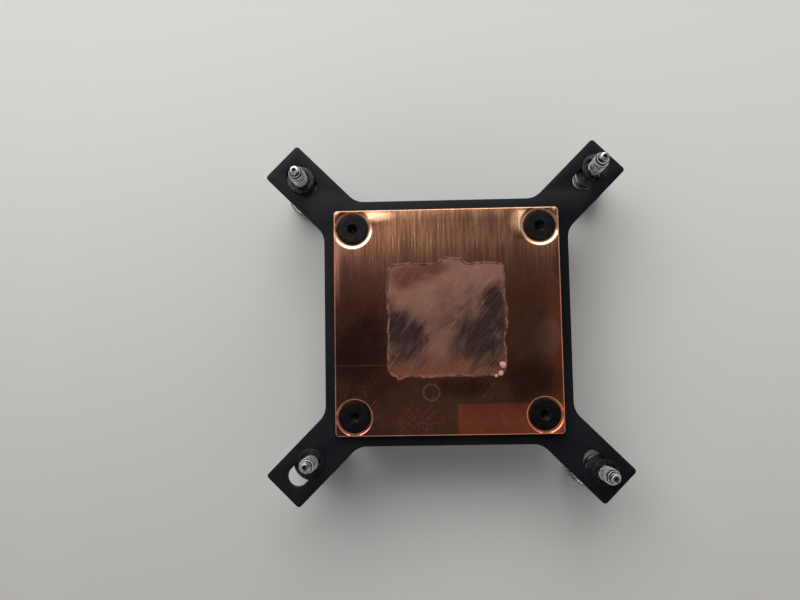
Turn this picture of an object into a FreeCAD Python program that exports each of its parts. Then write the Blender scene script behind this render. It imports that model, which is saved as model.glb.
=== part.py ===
import FreeCAD, Part
import math
import os
import Sketcher
from FreeCAD import Placement, Rotation, Vector

# Liquid cooling cold plate for a processor, standing on its port side with the copper face up.
# A finned copper base is screwed to a black cover, and the two trap a sheet steel bracket.
# Four captive thumb screws ride in the slots of the bracket's arms. Each one is a knurled
# screw held by a spring, a washer and a retaining clip.
# The origin is on the table under the middle of the block, +Z points out of the cold face,
# and +X +Y is the corner of screw 1. The corners run anticlockwise.

SIZES = {
    # mounting bracket
    "bracket_face": 26.0,        # height of the bracket's cold side above the port face
    "bracket_thick": 2.0,
    "bracket_rail": 4.0,         # from the window to the bracket's outer edge
    "arm_side_wall": 3.4,
    "arm_end_wall": 3.0,
    "arm_end_round": 0.9,
    "arm_root_fillet": 5.5,
    "slot_gap": 0.65,            # round a stud, on each side
    "slot_near_square": 73.6,    # hole square that the slot's inner end serves
    "slot_far_square": 80.0,     # hole square that its outer end serves
    # copper base
    "plate_edge": 4.95,          # from the screws to the plate's edge
    "plate_lap": 1.2,            # how far the rim lies over the bracket
    "plate_rim": 2.5,
    "plate_round": 1.0,
    "plate_bevel": 0.25,
    "plate_step": 1.0,           # the step that drops into the bracket's window
    "window_gap": 0.3,
    "fin_count": 40,
    "fin_pitch": 0.8,
    "fin_thick": 0.4,
    "fin_tall": 3.0,
    "fin_long": 30.0,
    # cover
    "cover_lap": 2.5,            # how far the flange lies under the bracket
    "cover_round": 5.0,
    "cover_edge": 1.0,
    "bracket_play": 0.1,
    "port_spacing": 30.0,
    "port_radius": 5.9,
    "port_depth": 10.0,
    "chamber_side_wall": 1.8,    # from the seal's groove to the chamber, at its two sides
    "chamber_end_wall": 3.3,
    "chamber_round": 3.0,
    "gallery_wide": 5.0,
    "gallery_tall": 8.0,
    "riser_radius": 4.0,
    "outlet_wide": 2.6,
    "outlet_long": 10.0,
    # jet plate
    "jet_thick": 1.0,
    "jet_reach": 17.0,           # from the middle to the sheet's edge at the outlet
    "jet_deep": 31.0,
    "jet_slot_long": 27.0,
    "jet_slot_wide": 1.6,
    "jet_gap": 0.2,              # from the sheet to the chamber's wall over the inlet
    # seal
    "seal_wall": 0.6,            # least wall between the seal's groove and a screw
    "seal_cut": 3.0,             # how much each corner of the middle line is cut off
    "seal_width": 2.2,
    "seal_tall": 1.5,
    "groove_gap": 0.1,
    # screws of the base
    "screw_square": 49.5,
    "screw_radius": 2.0,
    "screw_head_radius": 4.0,
    "screw_sunk": 0.5,
    "screw_long": 14.0,
    "screw_thread_gap": 0.03,
    "socket_across": 2.5,
    "socket_deep": 1.6,
    # captive thumb screws
    "stud_radius": 2.0,
    "stud_above": 12.0,          # length that stands above the bracket's cold side
    "taper_long": 1.1,
    "dog_radius": 1.25,
    "dog_long": 1.7,
    "head_below": 18.0,          # bracket's cold side down to the head
    "head_radius": 6.4,
    "head_tall": 7.5,
    "knurl_count": 16,
    "knurl_deep": 0.6,
    "neck_radius": 1.6,          # bottom of the clip's groove
    "neck_gap": 0.05,
    # retaining clip
    "clip_thick": 0.6,
    "clip_radius": 3.6,
    "clip_pocket_radius": 2.4,
    "clip_mouth": 2.7,
    # washer and spring
    "washer_thick": 0.8,
    "washer_radius": 4.9,
    "washer_hole_radius": 2.15,
    "spring_radius": 3.3,        # middle of the wire
    "spring_wire": 0.9,
    "spring_turns": 5.0,
    # where each thumb screw stands, outwards from the middle of its slot's inner end
    "rest_one": 5.06,
    "rest_two": 2.66,
    "rest_three": -0.54,
    "rest_four": 4.66,
    # the way each clip's mouth points, in degrees from +X
    "mouth_one": 265.0,
    "mouth_two": 135.0,
    "mouth_three": 245.0,
    "mouth_four": 315.0,
}

DIAGONAL = math.sqrt(0.5)        # share of a diagonal distance that lies along X
CORNERS = [("one", 1, 1), ("two", -1, 1), ("three", -1, -1), ("four", 1, -1)]
SPRING_SIDES = 8                 # straight pieces in a turn of the spring
WIRE_SIDES = 5                   # sides of the wire's section
WIRE_GROUND = 0.35               # share of the wire ground away at each end of the spring
CLIP_POCKET_START = 62           # degrees from the middle of the clip's mouth to each pocket
CLIP_POCKET_SWEEP = 90


class Size:
    """A length from the sheet that remembers its formula, so features can be bound to it."""

    def __init__(self, value, formula):
        self.value = float(value)
        self.formula = formula

    def joined(self, sign, other, value, swapped=False):
        text = other.formula if isinstance(other, Size) else repr(float(other))
        left, right = (text, self.formula) if swapped else (self.formula, text)
        return Size(value, f"({left} {sign} {right})")

    def __add__(self, other):
        return self.joined("+", other, self.value + float(other))

    def __radd__(self, other):
        return self.joined("+", other, float(other) + self.value, swapped=True)

    def __sub__(self, other):
        return self.joined("-", other, self.value - float(other))

    def __rsub__(self, other):
        return self.joined("-", other, float(other) - self.value, swapped=True)

    def __mul__(self, other):
        return self.joined("*", other, self.value * float(other))

    def __rmul__(self, other):
        return self.joined("*", other, float(other) * self.value, swapped=True)

    def __truediv__(self, other):
        return self.joined("/", other, self.value / float(other))

    def __neg__(self):
        return self * -1

    def __float__(self):
        return self.value


class Sizes:
    """Every driving dimension as a Size, by its name in the sheet."""

    def __init__(self, sheet, table):
        for row, (name, value) in enumerate(table.items(), start=1):
            sheet.set(f"A{row}", name)
            sheet.set(f"B{row}", str(value))
            sheet.setAlias(f"B{row}", name)
            setattr(self, name, Size(value, f"{sheet.Name}.{name}"))


doc = FreeCAD.newDocument("cold_plate")
sheet = doc.addObject("Spreadsheet::Sheet", "Sizes")
s = Sizes(sheet, SIZES)
doc.recompute()
subparts = []


# Sketch and feature helpers

def bind(item, place, size):
    """Sets a property or constraint to a size, and ties it to the sheet where it can."""
    if isinstance(size, Size):
        item.setExpression(place, size.formula)


def new_body(label, x=0.0, y=0.0, z=0.0, turn=0.0):
    body = doc.addObject("PartDesign::Body", label)
    body.Label = label
    place = Vector(float(x), float(y), float(z))
    body.Placement = Placement(place, Rotation(Vector(0, 0, 1), float(turn)))
    for axis, size in (("x", x), ("y", y), ("z", z)):
        bind(body, f"Placement.Base.{axis}", size)
    bind(body, "Placement.Rotation.Angle", turn)
    subparts.append(body)
    return body


def origin_of(body, role):
    return next(item for item in body.Origin.OriginFeatures if item.Role == role)


def new_sketch(body, name, role="XY_Plane", lift=0.0, turn=0.0, across=0.0):
    """A sketch on one of the body's own planes, lifted along its normal and turned about it."""
    sketch = body.newObject("Sketcher::SketchObject", name)
    sketch.AttachmentSupport = (origin_of(body, role), "")
    sketch.MapMode = "FlatFace"
    place = Vector(float(across), 0, float(lift))
    sketch.AttachmentOffset = Placement(place, Rotation(Vector(0, 0, 1), turn))
    bind(sketch, "AttachmentOffset.Base.x", across)
    bind(sketch, "AttachmentOffset.Base.z", lift)
    return sketch


def dimension(sketch, kind, *place):
    """Adds a dimension whose last argument is its size, and ties it to the sheet."""
    size = place[-1]
    index = sketch.addConstraint(Sketcher.Constraint(kind, *place[:-1], float(size)))
    bind(sketch, f"Constraints[{index}]", size)


def pin_point(sketch, geometry, vertex, x, y):
    """Fixes a point at x, y from the sketch's origin."""
    for kind, size, axis in (("DistanceX", x, -2), ("DistanceY", y, -1)):
        if isinstance(size, Size):
            dimension(sketch, kind, -1, 1, geometry, vertex, size)
        else:
            sketch.addConstraint(Sketcher.Constraint("PointOnObject", geometry, vertex, axis))


def outline(sketch, points):
    """A closed outline of straight lines through the points. A plain 0 lies on the axis."""
    places = [Vector(float(x), float(y), 0) for x, y in points]
    lines = []
    for start, end in zip(places, places[1:] + places[:1]):
        lines.append(sketch.addGeometry(Part.LineSegment(start, end), False))
    for line, following in zip(lines, lines[1:] + lines[:1]):
        sketch.addConstraint(Sketcher.Constraint("Coincident", line, 2, following, 1))
    for line, (x, y) in zip(lines, points):
        pin_point(sketch, line, 1, x, y)


def circle(sketch, x, y, radius):
    centre = Vector(float(x), float(y), 0)
    index = sketch.addGeometry(Part.Circle(centre, Vector(0, 0, 1), float(radius)), False)
    pin_point(sketch, index, 3, x, y)
    dimension(sketch, "Radius", index, radius)


def rounded_loop(sketch, centres, radius):
    """Equal arcs about the centres, anticlockwise, joined by straight tangent lines."""
    middles = [Vector(float(x), float(y), 0) for x, y in centres]
    normals = []
    for here, there in zip(middles, middles[1:] + middles[:1]):
        along = (there - here).normalize()
        normals.append(Vector(along.y, -along.x, 0))
    arcs = []
    lines = []
    for k, middle in enumerate(middles):
        first = math.atan2(normals[k - 1].y, normals[k - 1].x)
        last = math.atan2(normals[k].y, normals[k].x)
        if last <= first:
            last += 2 * math.pi
        round_edge = Part.Circle(middle, Vector(0, 0, 1), float(radius))
        arcs.append(sketch.addGeometry(Part.ArcOfCircle(round_edge, first, last), False))
        following = middles[(k + 1) % len(middles)]
        offset = normals[k] * float(radius)
        lines.append(sketch.addGeometry(Part.LineSegment(middle + offset, following + offset), False))
    for k, (arc, line) in enumerate(zip(arcs, lines)):
        following = arcs[(k + 1) % len(arcs)]
        sketch.addConstraint(Sketcher.Constraint("Tangent", arc, 2, line, 1))
        sketch.addConstraint(Sketcher.Constraint("Tangent", line, 2, following, 1))
        pin_point(sketch, arc, 3, *centres[k])
        dimension(sketch, "Radius", arc, radius)


def rounded_box(sketch, wide, deep, radius):
    """A centred rectangle with round corners."""
    right = wide / 2 - radius
    back = deep / 2 - radius
    rounded_loop(sketch, [(-right, -back), (right, -back), (right, back), (-right, back)], radius)


def rectangle(sketch, left, right, front, back):
    outline(sketch, [(left, front), (right, front), (right, back), (left, back)])


def box(sketch, wide, deep):
    rectangle(sketch, -wide / 2, wide / 2, -deep / 2, deep / 2)


def cut_square(sketch, side, cut):
    """A centred square whose corners are cut off at 45 degrees."""
    far = side / 2
    near = far - cut
    outline(sketch, [
        (far, -near), (far, near), (near, far), (-near, far),
        (-far, near), (-far, -near), (-near, -far), (near, -far)])


def hexagon(sketch, x, y, across):
    """A hexagon with two sides along Y."""
    corners = []
    for k in range(6):
        angle = math.radians(30 + 60 * k)
        corners.append((x + across * math.cos(angle) / math.sqrt(3), y + across * math.sin(angle) / math.sqrt(3)))
    outline(sketch, corners)


def circle_in_each_corner(sketch, half, radius):
    """Four circles on the corners of a square, half a side from the middle."""
    for _, x_side, y_side in CORNERS:
        circle(sketch, x_side * half, y_side * half, radius)


def feature(body, kind, name, sketch=None, **settings):
    """Adds a feature, ties its sizes to the sheet and makes it the body's tip."""
    item = body.newObject(f"PartDesign::{kind}", name)
    if sketch is not None:
        item.Profile = sketch
    for key, value in settings.items():
        setattr(item, key, float(value) if isinstance(value, Size) else value)
        bind(item, key, value)
    body.Tip = item
    doc.recompute()
    return item


def pad(body, name, sketch, length, down=False):
    return feature(body, "Pad", name, sketch, Length=length, Reversed=down)


def pocket(body, name, sketch, length, up=False):
    """Cuts down from the sketch, or up, and makes sure that something was cut."""
    before = body.Shape.Volume
    item = feature(body, "Pocket", name, sketch, Length=length, Reversed=up)
    if body.Shape.Volume >= before:
        raise RuntimeError(f"{body.Label}: {name} cuts nothing")
    return item


def revolve(body, name, sketch):
    return feature(body, "Revolution", name, sketch, ReferenceAxis=(sketch, ["V_Axis"]), Angle=360.0)


def around(body, name, original, count):
    """Repeats a feature evenly about the body's Z axis."""
    item = body.newObject("PartDesign::PolarPattern", name)
    item.Originals = [original]
    item.Axis = (origin_of(body, "Z_Axis"), [""])
    item.Angle = 360.0
    item.Occurrences = int(float(count))
    bind(item, "Occurrences", count)
    body.Tip = item
    doc.recompute()
    return item


def along_x(body, name, original, count, length):
    """Repeats a feature evenly along the body's X axis."""
    item = body.newObject("PartDesign::LinearPattern", name)
    item.Originals = [original]
    item.Direction = (origin_of(body, "X_Axis"), [""])
    item.Length = float(length)
    bind(item, "Length", length)
    item.Occurrences = int(float(count))
    bind(item, "Occurrences", count)
    body.Tip = item
    doc.recompute()
    return item


def edges_where(shape, test):
    return [f"Edge{k}" for k, edge in enumerate(shape.Edges, start=1) if test(edge)]


def upright(edge):
    if len(edge.Vertexes) != 2:
        return False
    along = edge.Vertexes[1].Point - edge.Vertexes[0].Point
    return along.cross(Vector(0, 0, 1)).Length < 1e-6


def lies_at(height):
    """Tells whether an edge lies flat at a height in its body."""
    level = float(height)
    return lambda edge: max(abs(edge.BoundBox.ZMin - level), abs(edge.BoundBox.ZMax - level)) < 1e-4


def round_edges(body, name, test, radius):
    """Fillets the edges of the tip that pass a test, which gets them in the body's own frame."""
    names = edges_where(body.Tip.Shape, test)
    return feature(body, "Fillet", name, Base=(body.Tip, names), Radius=radius)


def bevel_edges(body, name, test, width):
    names = edges_where(body.Tip.Shape, test)
    return feature(body, "Chamfer", name, Base=(body.Tip, names), Size=width)


# Sizes that several pieces share

slot_width = 2 * (s.stud_radius + s.slot_gap)
slot_near = s.slot_near_square * DIAGONAL
slot_far = s.slot_far_square * DIAGONAL
plate_side = s.screw_square + 2 * s.plate_edge
window_side = plate_side - 2 * s.plate_lap
island_side = window_side - 2 * s.window_gap
screw_to_groove = s.screw_radius + s.screw_thread_gap + s.seal_wall
groove_to_middle = s.groove_gap + s.seal_width / 2
seal_side = s.screw_square + s.seal_cut - 2 * DIAGONAL * (screw_to_groove + groove_to_middle)
groove_inner_side = seal_side - s.seal_width - 2 * s.groove_gap
chamber_wide = groove_inner_side - 2 * s.chamber_side_wall
chamber_deep = groove_inner_side - 2 * s.chamber_end_wall

# Heights that several pieces share, above the port face

base_underside = s.bracket_face - s.plate_step
jet_seat = base_underside - s.fin_tall - s.jet_thick
washer_face = s.bracket_face - s.bracket_thick
head_top = s.bracket_face - s.head_below


def make_mounting_bracket():
    body = new_body("mounting_bracket", z=s.bracket_face - s.bracket_thick)
    bracket_side = window_side + 2 * s.bracket_rail
    frame = new_sketch(body, "frame_outline")
    box(frame, bracket_side, bracket_side)
    pad(body, "frame", frame, s.bracket_thick)

    arm = new_sketch(body, "arm_outline", turn=45)
    half = slot_width / 2 + s.arm_side_wall
    arm_reach = slot_far + slot_width / 2 + s.arm_end_wall
    rectangle(arm, 0, arm_reach, -half, half)
    first_arm = pad(body, "arm", arm, s.bracket_thick)
    around(body, "arms", first_arm, 4)

    frame_edge = bracket_side.value / 2
    arm_corner = math.hypot(arm_reach.value, half.value)

    def at_arm_end(edge):
        reach = math.hypot(edge.CenterOfMass.x, edge.CenterOfMass.y)
        return upright(edge) and abs(reach - arm_corner) < 0.01

    def at_arm_root(edge):
        side = max(abs(edge.CenterOfMass.x), abs(edge.CenterOfMass.y))
        return upright(edge) and not at_arm_end(edge) and abs(side - frame_edge) < 0.01

    round_edges(body, "arm_roots", at_arm_root, s.arm_root_fillet)
    round_edges(body, "arm_ends", at_arm_end, s.arm_end_round)

    window = new_sketch(body, "window_outline", lift=s.bracket_thick)
    box(window, window_side, window_side)
    pocket(body, "window", window, s.bracket_thick)

    slot = new_sketch(body, "slot_outline", lift=s.bracket_thick, turn=45)
    rounded_loop(slot, [(slot_near, 0), (slot_far, 0)], slot_width / 2)
    first_slot = pocket(body, "slot", slot, s.bracket_thick)
    around(body, "slots", first_slot, 4)


def make_base_plate():
    """Copper plate with a comb of fins under it and its four screws in place."""
    body = new_body("base_plate", z=s.bracket_face)
    rim = new_sketch(body, "rim_outline")
    rounded_box(rim, plate_side, plate_side, s.plate_round)
    pad(body, "rim", rim, s.plate_rim)
    bevel_edges(body, "rim_bevel", lies_at(s.plate_rim), s.plate_bevel)

    step = new_sketch(body, "step_outline")
    box(step, island_side, island_side)
    pad(body, "step", step, s.plate_step, down=True)

    add_base_screws(body)

    fin = new_sketch(body, "fin_outline", lift=-s.plate_step)
    row_long = (s.fin_count - 1) * s.fin_pitch
    middle = -row_long / 2
    rectangle(fin, middle - s.fin_thick / 2, middle + s.fin_thick / 2, -s.fin_long / 2, s.fin_long / 2)
    first_fin = pad(body, "fin", fin, s.fin_tall, down=True)
    along_x(body, "fins", first_fin, s.fin_count, row_long)


def add_base_screws(body):
    """Countersunk socket screws, driven tight through the plate's corners and one with it."""
    middle = s.screw_square / 2
    flat = s.plate_rim - s.screw_sunk
    seat = new_sketch(body, "screw_seat_profile", "XZ_Plane", lift=-middle, across=middle)
    outline(seat, [
        (0, s.plate_rim), (0, flat), (s.screw_head_radius, flat),
        (s.screw_head_radius + s.screw_sunk, s.plate_rim)])
    first_seat = feature(body, "Groove", "screw_seat", seat, ReferenceAxis=(seat, ["V_Axis"]), Angle=360.0)
    around(body, "screw_seats", first_seat, 4)

    socket = new_sketch(body, "screw_socket_outline", lift=flat)
    hexagon(socket, middle, middle, s.socket_across)
    first_socket = pocket(body, "screw_socket", socket, s.socket_deep)
    around(body, "screw_sockets", first_socket, 4)

    shanks = new_sketch(body, "screw_shank_outline", lift=-s.plate_step)
    circle_in_each_corner(shanks, middle, s.screw_radius)
    pad(body, "screw_shanks", shanks, s.screw_long - flat - s.plate_step, down=True)


def make_top_cover():
    body = new_body("top_cover")
    cover_side = window_side + 2 * s.cover_lap
    block = new_sketch(body, "block_outline")
    rounded_box(block, cover_side, cover_side, s.cover_round)
    pad(body, "block", block, washer_face - s.bracket_play)
    bevel_edges(body, "port_side_edge", lies_at(0), s.cover_edge)

    island = new_sketch(body, "island_outline", lift=washer_face - s.bracket_play)
    box(island, island_side, island_side)
    pad(body, "island", island, base_underside - washer_face + s.bracket_play)

    chamber = new_sketch(body, "chamber_outline", lift=base_underside)
    rounded_box(chamber, chamber_wide, chamber_deep, s.chamber_round)
    pocket(body, "chamber", chamber, base_underside - jet_seat)

    gallery = new_sketch(body, "gallery_outline", lift=jet_seat)
    inlet_x = -s.port_spacing / 2
    rounded_loop(gallery, [(inlet_x, 0), (s.jet_slot_long / 2, 0)], s.gallery_wide / 2)
    pocket(body, "gallery", gallery, s.gallery_tall)

    riser = new_sketch(body, "riser_outline", lift=jet_seat)
    circle(riser, inlet_x, 0, s.riser_radius)
    pocket(body, "inlet_riser", riser, jet_seat - s.port_depth)

    outlet = new_sketch(body, "outlet_outline", lift=jet_seat)
    outer = chamber_wide / 2
    half = s.outlet_long / 2
    rectangle(outlet, outer - s.outlet_wide, outer, -half, half)
    pocket(body, "outlet_riser", outlet, jet_seat - s.port_depth)

    ports = new_sketch(body, "port_places")
    circle(ports, inlet_x, 0, s.port_radius)
    circle(ports, -inlet_x, 0, s.port_radius)
    pocket(body, "ports", ports, s.port_depth, up=True)

    loop = new_sketch(body, "seal_groove_outline", lift=base_underside)
    seal_ring(loop, s.seal_width / 2 + s.groove_gap)
    pocket(body, "seal_groove", loop, s.seal_tall)

    holes = new_sketch(body, "screw_hole_places", lift=base_underside)
    circle_in_each_corner(holes, s.screw_square / 2, s.screw_radius + s.screw_thread_gap)
    pocket(body, "screw_holes", holes, s.screw_long)


def make_jet_plate():
    body = new_body("jet_plate", z=jet_seat)
    plate = new_sketch(body, "jet_plate_outline")
    inlet_edge = -chamber_wide / 2 + s.jet_gap
    rectangle(plate, inlet_edge, s.jet_reach, -s.jet_deep / 2, s.jet_deep / 2)
    reach = (s.jet_slot_long - s.jet_slot_wide) / 2
    rounded_loop(plate, [(-reach, 0), (reach, 0)], s.jet_slot_wide / 2)
    pad(body, "jet_sheet", plate, s.jet_thick)


def seal_ring(sketch, half_width):
    """Two squares with cut corners, half a width outside and inside the seal's middle line."""
    for offset in (half_width, -half_width):
        cut_square(sketch, seal_side + 2 * offset, s.seal_cut + (2 - math.sqrt(2)) * offset)


def make_main_seal():
    body = new_body("main_seal", z=base_underside - s.seal_tall)
    loop = new_sketch(body, "seal_outline")
    seal_ring(loop, s.seal_width / 2)
    pad(body, "seal", loop, s.seal_tall)


def make_thumb_screw(number, x, y):
    """Knurled captive screw with a dog point. Its own z = 0 is the seat of the retaining clip."""
    body = new_body(f"thumb_screw_{number}", x, y, s.bracket_face)
    profile = new_sketch(body, "screw_profile", "XZ_Plane")
    top = s.stud_above
    dog = top - s.dog_long
    taper = dog - s.taper_long
    head = -s.head_below
    neck_top = s.clip_thick + s.neck_gap
    outline(profile, [
        (0, top), (s.dog_radius, top), (s.dog_radius, dog), (s.stud_radius, taper),
        (s.stud_radius, neck_top), (s.neck_radius, neck_top), (s.neck_radius, -s.neck_gap),
        (s.stud_radius, -s.neck_gap), (s.stud_radius, head), (0, head)])
    revolve(body, "stud", profile)

    knurl = new_sketch(body, "knurl_outline", lift=head)
    outline(knurl, knurl_points())
    pad(body, "knurled_head", knurl, s.head_tall, down=True)


def knurl_points():
    """The ridges and furrows of the knurl, in turn round the head."""
    count = int(s.knurl_count.value)
    points = []
    for k in range(2 * count):
        angle = math.pi * k / count + math.pi / (2 * count)
        radius = s.head_radius if k % 2 else s.head_radius - s.knurl_deep
        points.append((radius * math.cos(angle), radius * math.sin(angle)))
    return points


def make_retaining_clip(number, x, y, turn):
    """E-clip. It grips the neck at its back and at the two lips of its mouth, which points to +X."""
    body = new_body(f"retaining_clip_{number}", x, y, s.bracket_face, turn)
    bore = s.neck_radius + s.neck_gap
    disc = new_sketch(body, "clip_outline")
    circle(disc, 0, 0, s.clip_radius)
    circle(disc, 0, 0, bore)
    pad(body, "disc", disc, s.clip_thick)

    mouth = new_sketch(body, "mouth_outline", lift=s.clip_thick)
    half = s.clip_mouth / 2
    rectangle(mouth, 0, s.clip_radius + half, -half, half)
    pocket(body, "mouth", mouth, s.clip_thick)

    upper_start = CLIP_POCKET_START
    lower_start = -CLIP_POCKET_START - CLIP_POCKET_SWEEP
    for side, start in (("upper", upper_start), ("lower", lower_start)):
        relief = new_sketch(body, f"{side}_pocket_outline", lift=s.clip_thick, turn=start)
        ring_sector(relief, bore / 2, s.clip_pocket_radius, CLIP_POCKET_SWEEP)
        pocket(body, f"{side}_pocket", relief, s.clip_thick)


def ring_sector(sketch, inner, outer, sweep):
    """The space between two arcs about the origin, from the sketch's X axis through an angle."""
    angle = math.radians(sweep)
    start = Vector(1, 0, 0)
    way = Vector(math.cos(angle), math.sin(angle), 0)
    up = Vector(0, 0, 1)
    near_circle = Part.Circle(Vector(), up, float(inner))
    far_circle = Part.Circle(Vector(), up, float(outer))
    near = sketch.addGeometry(Part.ArcOfCircle(near_circle, 0, angle), False)
    far = sketch.addGeometry(Part.ArcOfCircle(far_circle, 0, angle), False)
    first = sketch.addGeometry(Part.LineSegment(start * float(inner), start * float(outer)), False)
    last = sketch.addGeometry(Part.LineSegment(way * float(inner), way * float(outer)), False)
    for arc, radius in ((near, inner), (far, outer)):
        sketch.addConstraint(Sketcher.Constraint("Coincident", arc, 3, -1, 1))
        dimension(sketch, "Radius", arc, radius)
    for line, vertex in ((first, 1), (last, 2)):
        sketch.addConstraint(Sketcher.Constraint("Coincident", line, 1, near, vertex))
        sketch.addConstraint(Sketcher.Constraint("Coincident", line, 2, far, vertex))
    sketch.addConstraint(Sketcher.Constraint("PointOnObject", first, 1, -1))
    sketch.addConstraint(Sketcher.Constraint("PointOnObject", first, 2, -1))
    sketch.addConstraint(Sketcher.Constraint("Angle", last, angle))
    sketch.addConstraint(Sketcher.Constraint("PointOnObject", -1, 1, last))


def make_washer(number, x, y):
    body = new_body(f"washer_{number}", x, y, washer_face - s.washer_thick)
    ring = new_sketch(body, "washer_outline")
    circle(ring, 0, 0, s.washer_radius)
    circle(ring, 0, 0, s.washer_hole_radius)
    pad(body, "washer", ring, s.washer_thick)


def make_spring(number, x, y):
    """Compression spring with closed, ground ends, from the screw's head to the washer."""
    tall = float(washer_face - s.washer_thick - head_top)
    radius = s.spring_radius.value
    wire = s.spring_wire.value
    steps = round(s.spring_turns.value * SPRING_SIDES)
    points = []
    for k in range(steps + 1):
        angle = 2 * math.pi * k / SPRING_SIDES
        height = spring_height(k / SPRING_SIDES, steps / SPRING_SIDES, tall, wire)
        points.append(Vector(radius * math.cos(angle), radius * math.sin(angle), height))
    path = Part.makePolygon(points)
    section = regular_wire(points[0], points[1] - points[0], wire / 2)
    coil = path.makePipeShell([section], True, False, 1)
    ground = Part.makeCylinder(radius + wire, tall)
    spring = doc.addObject("Part::Feature", f"spring_{number}")
    spring.Label = f"spring_{number}"
    spring.Shape = coil.common(ground)
    spring.Placement = Placement(Vector(float(x), float(y), head_top.value), Rotation())
    subparts.append(spring)


def spring_height(turn, turns, tall, wire):
    """Middle of the wire above the lower end: a closed turn at each end and even coils between."""
    low = wire * (0.5 - WIRE_GROUND)
    if turn <= 1:
        return low + wire * turn
    if turn >= turns - 1:
        return tall - low - wire * (turns - turn)
    share = (turn - 1) / (turns - 2)
    return low + wire + share * (tall - 2 * (low + wire))


def regular_wire(centre, along, radius):
    """A closed polygon of the wire's section, square to the path's start."""
    along = Vector(along).normalize()
    across = along.cross(Vector(0, 0, 1)).normalize()
    over = across.cross(along)
    corners = []
    for k in range(WIRE_SIDES + 1):
        angle = 2 * math.pi * k / WIRE_SIDES
        corners.append(centre + across * radius * math.cos(angle) + over * radius * math.sin(angle))
    return Part.makePolygon(corners)


def make_captive_screws():
    """Thumb screw, spring, washer and clip in each arm's slot, at its own place along it."""
    for number, (word, x_side, y_side) in enumerate(CORNERS, start=1):
        reach = (slot_near + getattr(s, f"rest_{word}")) * DIAGONAL
        x = x_side * reach
        y = y_side * reach
        make_thumb_screw(number, x, y)
        make_spring(number, x, y)
        make_washer(number, x, y)
        make_retaining_clip(number, x, y, getattr(s, f"mouth_{word}"))


def write_parts():
    """Checks every object of the document, then writes each sub-part to its own file."""
    doc.recompute()
    for item in doc.Objects:
        if "Invalid" in item.State or "Error" in item.State:
            raise RuntimeError(f"{item.Name} failed: {item.State}")
    for part in subparts:
        if part.Shape.isNull() or not part.Shape.isValid():
            raise RuntimeError(f"{part.Label} has no valid shape")
    os.makedirs("parts", exist_ok=True)
    for part in subparts:
        part.Shape.exportStep(os.path.join("parts", part.Label + ".step"))
        print(f"{part.Label}: {len(part.Shape.Solids)} solid, {part.Shape.Volume:.1f} mm3")


make_mounting_bracket()
make_base_plate()
make_top_cover()
make_jet_plate()
make_main_seal()
make_captive_screws()
write_parts()
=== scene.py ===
import math
import bmesh
import bpy
from mathutils import Matrix, Vector, noise


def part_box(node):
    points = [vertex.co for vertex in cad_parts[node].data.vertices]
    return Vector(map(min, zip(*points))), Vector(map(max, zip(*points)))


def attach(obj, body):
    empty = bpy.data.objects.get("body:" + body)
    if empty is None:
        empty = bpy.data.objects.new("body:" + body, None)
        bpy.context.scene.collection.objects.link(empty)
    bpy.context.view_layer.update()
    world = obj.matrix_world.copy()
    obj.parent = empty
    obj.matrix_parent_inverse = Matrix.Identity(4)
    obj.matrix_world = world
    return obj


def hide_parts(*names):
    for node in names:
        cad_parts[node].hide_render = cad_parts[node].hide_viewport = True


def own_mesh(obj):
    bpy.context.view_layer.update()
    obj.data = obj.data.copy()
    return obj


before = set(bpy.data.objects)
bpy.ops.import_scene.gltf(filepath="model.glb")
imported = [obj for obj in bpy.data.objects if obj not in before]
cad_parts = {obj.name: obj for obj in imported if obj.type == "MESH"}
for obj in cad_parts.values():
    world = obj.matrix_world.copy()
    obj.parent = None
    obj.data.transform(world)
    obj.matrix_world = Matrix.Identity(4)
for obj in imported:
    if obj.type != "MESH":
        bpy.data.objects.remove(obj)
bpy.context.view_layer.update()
mm = 0.001
corners = (1, 2, 3, 4)


# Shader nodes, written as Python expressions

class Wire:
    # a socket of a material's nodes that maths can be written with
    def __init__(self, paint, socket):
        self.paint = paint
        self.socket = socket

    def __add__(self, other): return self.paint.sum("ADD", self, other)
    def __radd__(self, other): return self.paint.sum("ADD", other, self)
    def __sub__(self, other): return self.paint.sum("SUBTRACT", self, other)
    def __rsub__(self, other): return self.paint.sum("SUBTRACT", other, self)
    def __mul__(self, other): return self.paint.sum("MULTIPLY", self, other)
    def __rmul__(self, other): return self.paint.sum("MULTIPLY", other, self)
    def __truediv__(self, other): return self.paint.sum("DIVIDE", self, other)
    def __rtruediv__(self, other): return self.paint.sum("DIVIDE", other, self)
    def __abs__(self): return self.paint.sum("ABSOLUTE", self)


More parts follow.
